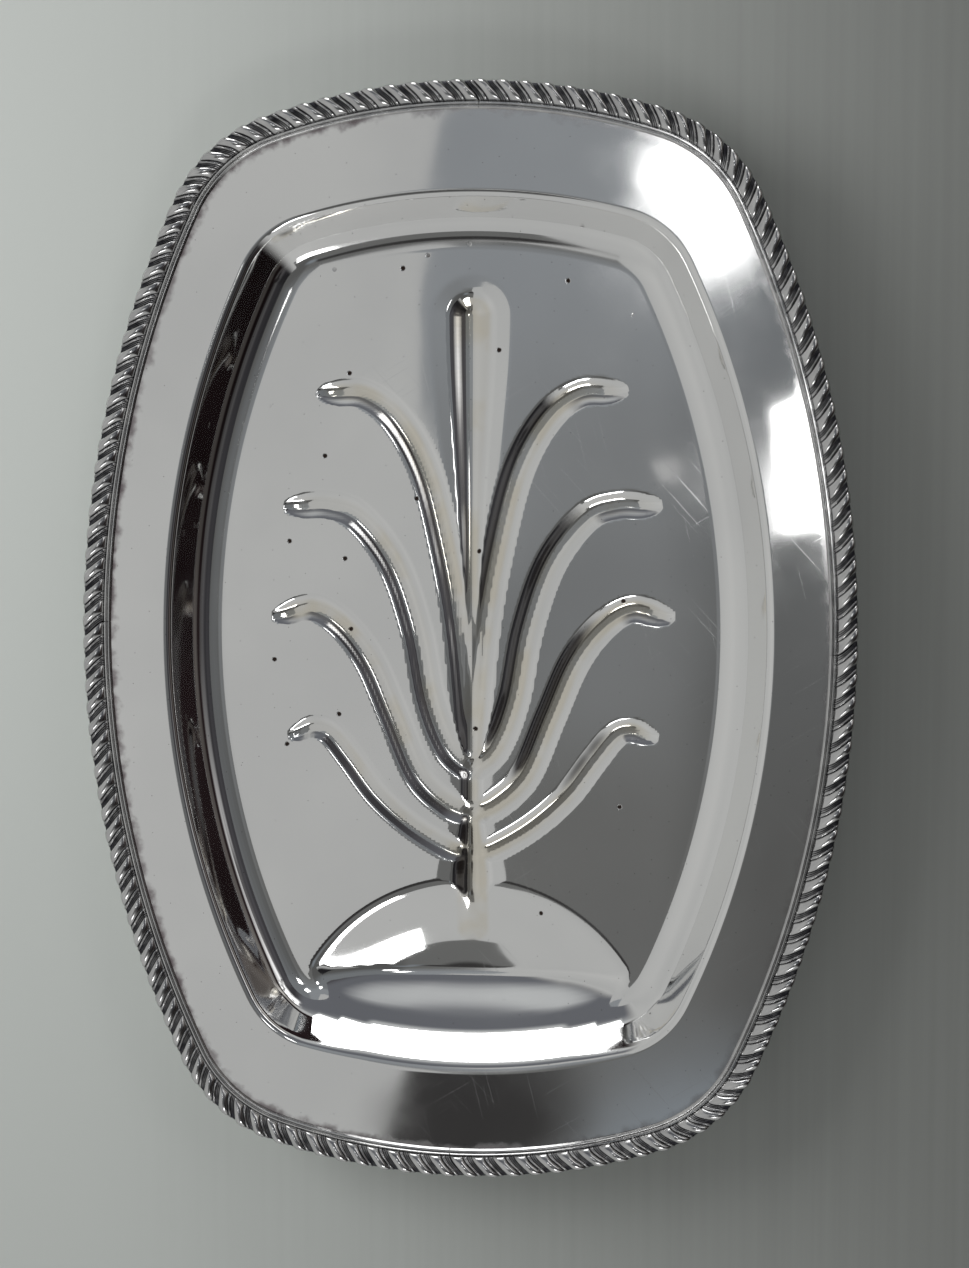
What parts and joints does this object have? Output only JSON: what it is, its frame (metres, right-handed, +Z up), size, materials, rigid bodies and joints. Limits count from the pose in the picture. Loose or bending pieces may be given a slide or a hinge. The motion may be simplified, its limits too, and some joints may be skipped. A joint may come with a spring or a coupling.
{
  "type": "footed meat platter",
  "caption": "Oblong silver-plated carving platter on bun feet, with a tree of gravy channels running to a gravy well and a twisted gadroon border.",
  "frame": {"origin": "on the table, under the middle of the platter's outline", "axes": "+Z up; +Y along the platter towards the head of the tree; +X to the right when the gravy well is nearest"},
  "size_m": [0.306, 0.432, 0.0383],
  "materials": {
    "polished_silver": "polished silver plate with light tarnish and fine scratches",
    "border_silver": "silver plate, blackened in the recesses of the gadroons",
    "foot_silver": "silver plate, duller than the upper side"
  },
  "bodies": {
    "root": {"platter_body": "polished_silver", "border_head_right": "border_silver", "border_head_left": "border_silver", "border_well_left": "border_silver", "border_well_right": "border_silver", "foot_head_left": "foot_silver", "foot_head_right": "foot_silver", "foot_well_left": "foot_silver", "foot_well_right": "foot_silver"}
  },
  "joints": []
}
